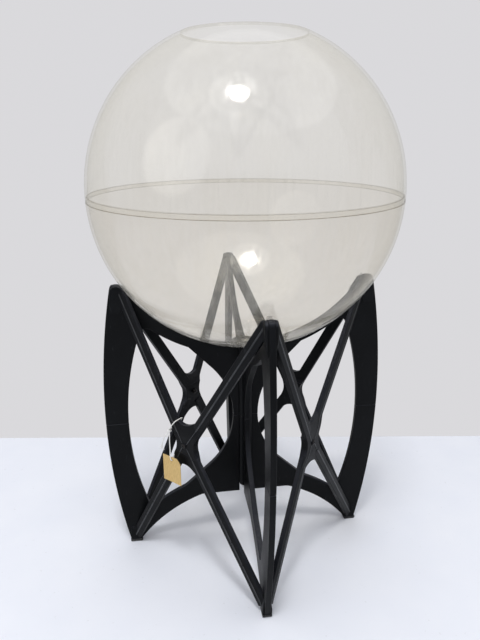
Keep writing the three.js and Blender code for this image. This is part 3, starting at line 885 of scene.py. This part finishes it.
def brace_shells(sign):
    end_z, rows = (UPPER_END_Z, HEAD_ROWS) if sign > 0 else (LOWER_END_Z, FOOT_ROWS)
    shells = []
    for side, near in ((-1, NEAR_LEFT), (1, NEAR_RIGHT)):
        start = bay_point(side * ARM_END_W, ARM_END_D, end_z)
        end = bay_point(near[0], ARM_D - side * sign * LEAN, SEAM_Z + sign * near[1])
        shells.append(arm_shell(start, end, side, sign))
    shells += [ear_shell(rows, -1), ear_shell(rows, 1), node_shell(sign)]
    for side in (-1, 1):
        crease_end = CREASE_IN_H if sign > 0 else SHOULDER_H + 0.3
        shells.append(crease_shell(side, CREASE_OUT_H, crease_end, sign))
        if sign > 0:
            shells.append(crease_shell(side, -CREASE_IN_H, -SHOULDER_H + 0.3, sign))
    if sign > 0:
        shells.append(boss_shell())
    return shells


for k, name in enumerate(BAY_NAMES):
    for half, sign in (("upper", 1), ("lower", -1)):
        brace = finished(f"brace_bar_{half}_{name}", brace_shells(sign), [black_material, ridge_highlight_material],
                         "stand", [f"brace_{half}_{name}"], bay_turn(k), rim=0.5, crease=32)

# ---- screws of the crossings ----
# One black pan-head M4 screw through each crossing from outside, with a hexagon nut on its end.
oxide = Finish("black oxide steel")
film = oxide.clouds(500, 3)
oxide_material = oxide.close(oxide.principled(
    Base_Color=oxide.tone(oxide.ramp(film, 0.3, 0.7), (0.018, 0.018, 0.02, 1), (0.04, 0.036, 0.034, 1)),
    Metallic=0.8,
    Roughness=oxide.ramp(film, 0.3, 0.7, 0.28, 0.5),
    Normal=oxide.relief(film, 0.00003),
))
NEAR_FACE = BAY_D - 6.15
SCREW_R = 2


def socket_in(i, angle, r):
    """The drive recess in the screw's head has six lobes."""
    return r * (0.86 + 0.14 * math.cos(6 * angle)) if i in (1, 2) else r


head_face = TONGUE_FACE + BOSS_RISE + GAP
screw_profile = [(0.001, head_face + 0.2), (1.4, head_face + 0.2), (1.5, head_face + 1.2),
                 (2.3, head_face + 1.1), (3.0, head_face + 0.7), (3.2, head_face + 0.3),
                 (3.15, head_face), (SCREW_R, head_face),
                 *threaded(SCREW_R, NEAR_FACE - 3.6, NEAR_FACE + 1, 0.7, 0.22),
                 (1.4, NEAR_FACE - 4), (0.001, NEAR_FACE - 4)]
to_crossing = Matrix.Translation(Vector((NODE_W, 0, SEAM_Z)) * MM)
for k, name in enumerate(BAY_NAMES):
    place = bay_turn(k) @ to_crossing @ lay_down
    screw = finished(f"pan_screw_{name}", [turned(screw_profile, 48, socket_in)], oxide_material, "stand",
                     [f"cross_screw_{name}"], place, crease=35)
    nut_shell = nut(4.2, 2.3, NEAR_FACE - GAP - 3, NEAR_FACE - GAP)
    hex_nut = finished(f"hex_nut_{name}", [nut_shell], oxide_material, "stand", [f"cross_nut_{name}"], place,
                       crease=30)

# ---- table top and light ----
# A pale matt table top that ends just behind the globe, an even pale room, one ceiling lamp with
# a shade that makes the two round highlights, and wide soft lights above and from the left.
table = Finish("pale table top")
stains = table.clouds(9, 4)
specks = table.ramp(table.clouds(160, 2), 0.7, 0.73)
table_colour = table.tone(table.ramp(stains, 0.3, 0.7), (0.785, 0.81, 0.885, 1), (0.82, 0.84, 0.905, 1))
table_material = table.close(table.principled(
    Base_Color=table.tone(0.25 * specks, table_colour, (0.55, 0.56, 0.58, 1)),
    Roughness=0.7,
    Normal=table.relief(table.clouds(60, 3), 0.0003, 0.4),
))
floor_mesh = bpy.data.meshes.new("table_top")
forward = Vector((0.1507, 0.9886, 0))
sideways = Vector((0.9886, -0.1507, 0))
edge_point = Vector((0.0333, 0.2719, 0))
floor_mesh.from_pydata([edge_point - 3 * sideways, edge_point + 3 * sideways,
                        edge_point + 3 * sideways - 4 * forward, edge_point - 3 * sideways - 4 * forward],
                       [], [(3, 2, 1, 0)])
floor_mesh.materials.append(table_material)
floor = bpy.data.objects.new("table_top", floor_mesh)
bpy.context.scene.collection.objects.link(floor)

room = bpy.data.worlds.new("room")
room.use_nodes = True
room_nodes, room_links = room.node_tree.nodes, room.node_tree.links
room_nodes.clear()
walls = room_nodes.new("ShaderNodeBackground")
walls.inputs["Color"].default_value = (0.70, 0.695, 0.715, 1)
glow = room_nodes.new("ShaderNodeBackground")
glow.inputs["Color"].default_value = (0.52, 0.52, 0.53, 1)
seen = room_nodes.new("ShaderNodeLightPath")
either = room_nodes.new("ShaderNodeMixShader")
room_links.new(seen.outputs["Is Camera Ray"], either.inputs[0])
room_links.new(glow.outputs[0], either.inputs[1])
room_links.new(walls.outputs[0], either.inputs[2])
room_links.new(either.outputs[0], room_nodes.new("ShaderNodeOutputWorld").inputs["Surface"])
bpy.context.scene.world = room
bpy.context.scene.view_settings.view_transform = "Standard"


def lamp(name, place, target, size, power, colour=(1, 1, 1)):
    light = bpy.data.lights.new(name, "AREA")
    light.shape = "DISK"
    light.size = size
    light.energy = power
    light.color = colour
    held = bpy.data.objects.new(name, light)
    held.location = place
    held.rotation_euler = (Vector(target) - Vector(place)).to_track_quat("-Z", "Y").to_euler()
    bpy.context.scene.collection.objects.link(held)


highlight = Vector((-0.033, -0.163, 0.632))
above = highlight + 1.7 * Vector((-0.1153, -0.3161, 0.9417))
globe_foot = (0, 0, 0.4)
lamp("ceiling_lamp", above, globe_foot, 0.32, 15)
lamp("lamp_shade", above + Vector((0, 0, 0.02)), globe_foot, 1.0, 2.6)
lamp("soft_ceiling", (0.1, -0.3, 2.9), (0, 0, 0), 4.5, 34, (0.95, 0.97, 1))
lamp("soft_left", (-2.1, -1.3, 1.6), (0, 0, 0.3), 2.2, 9)
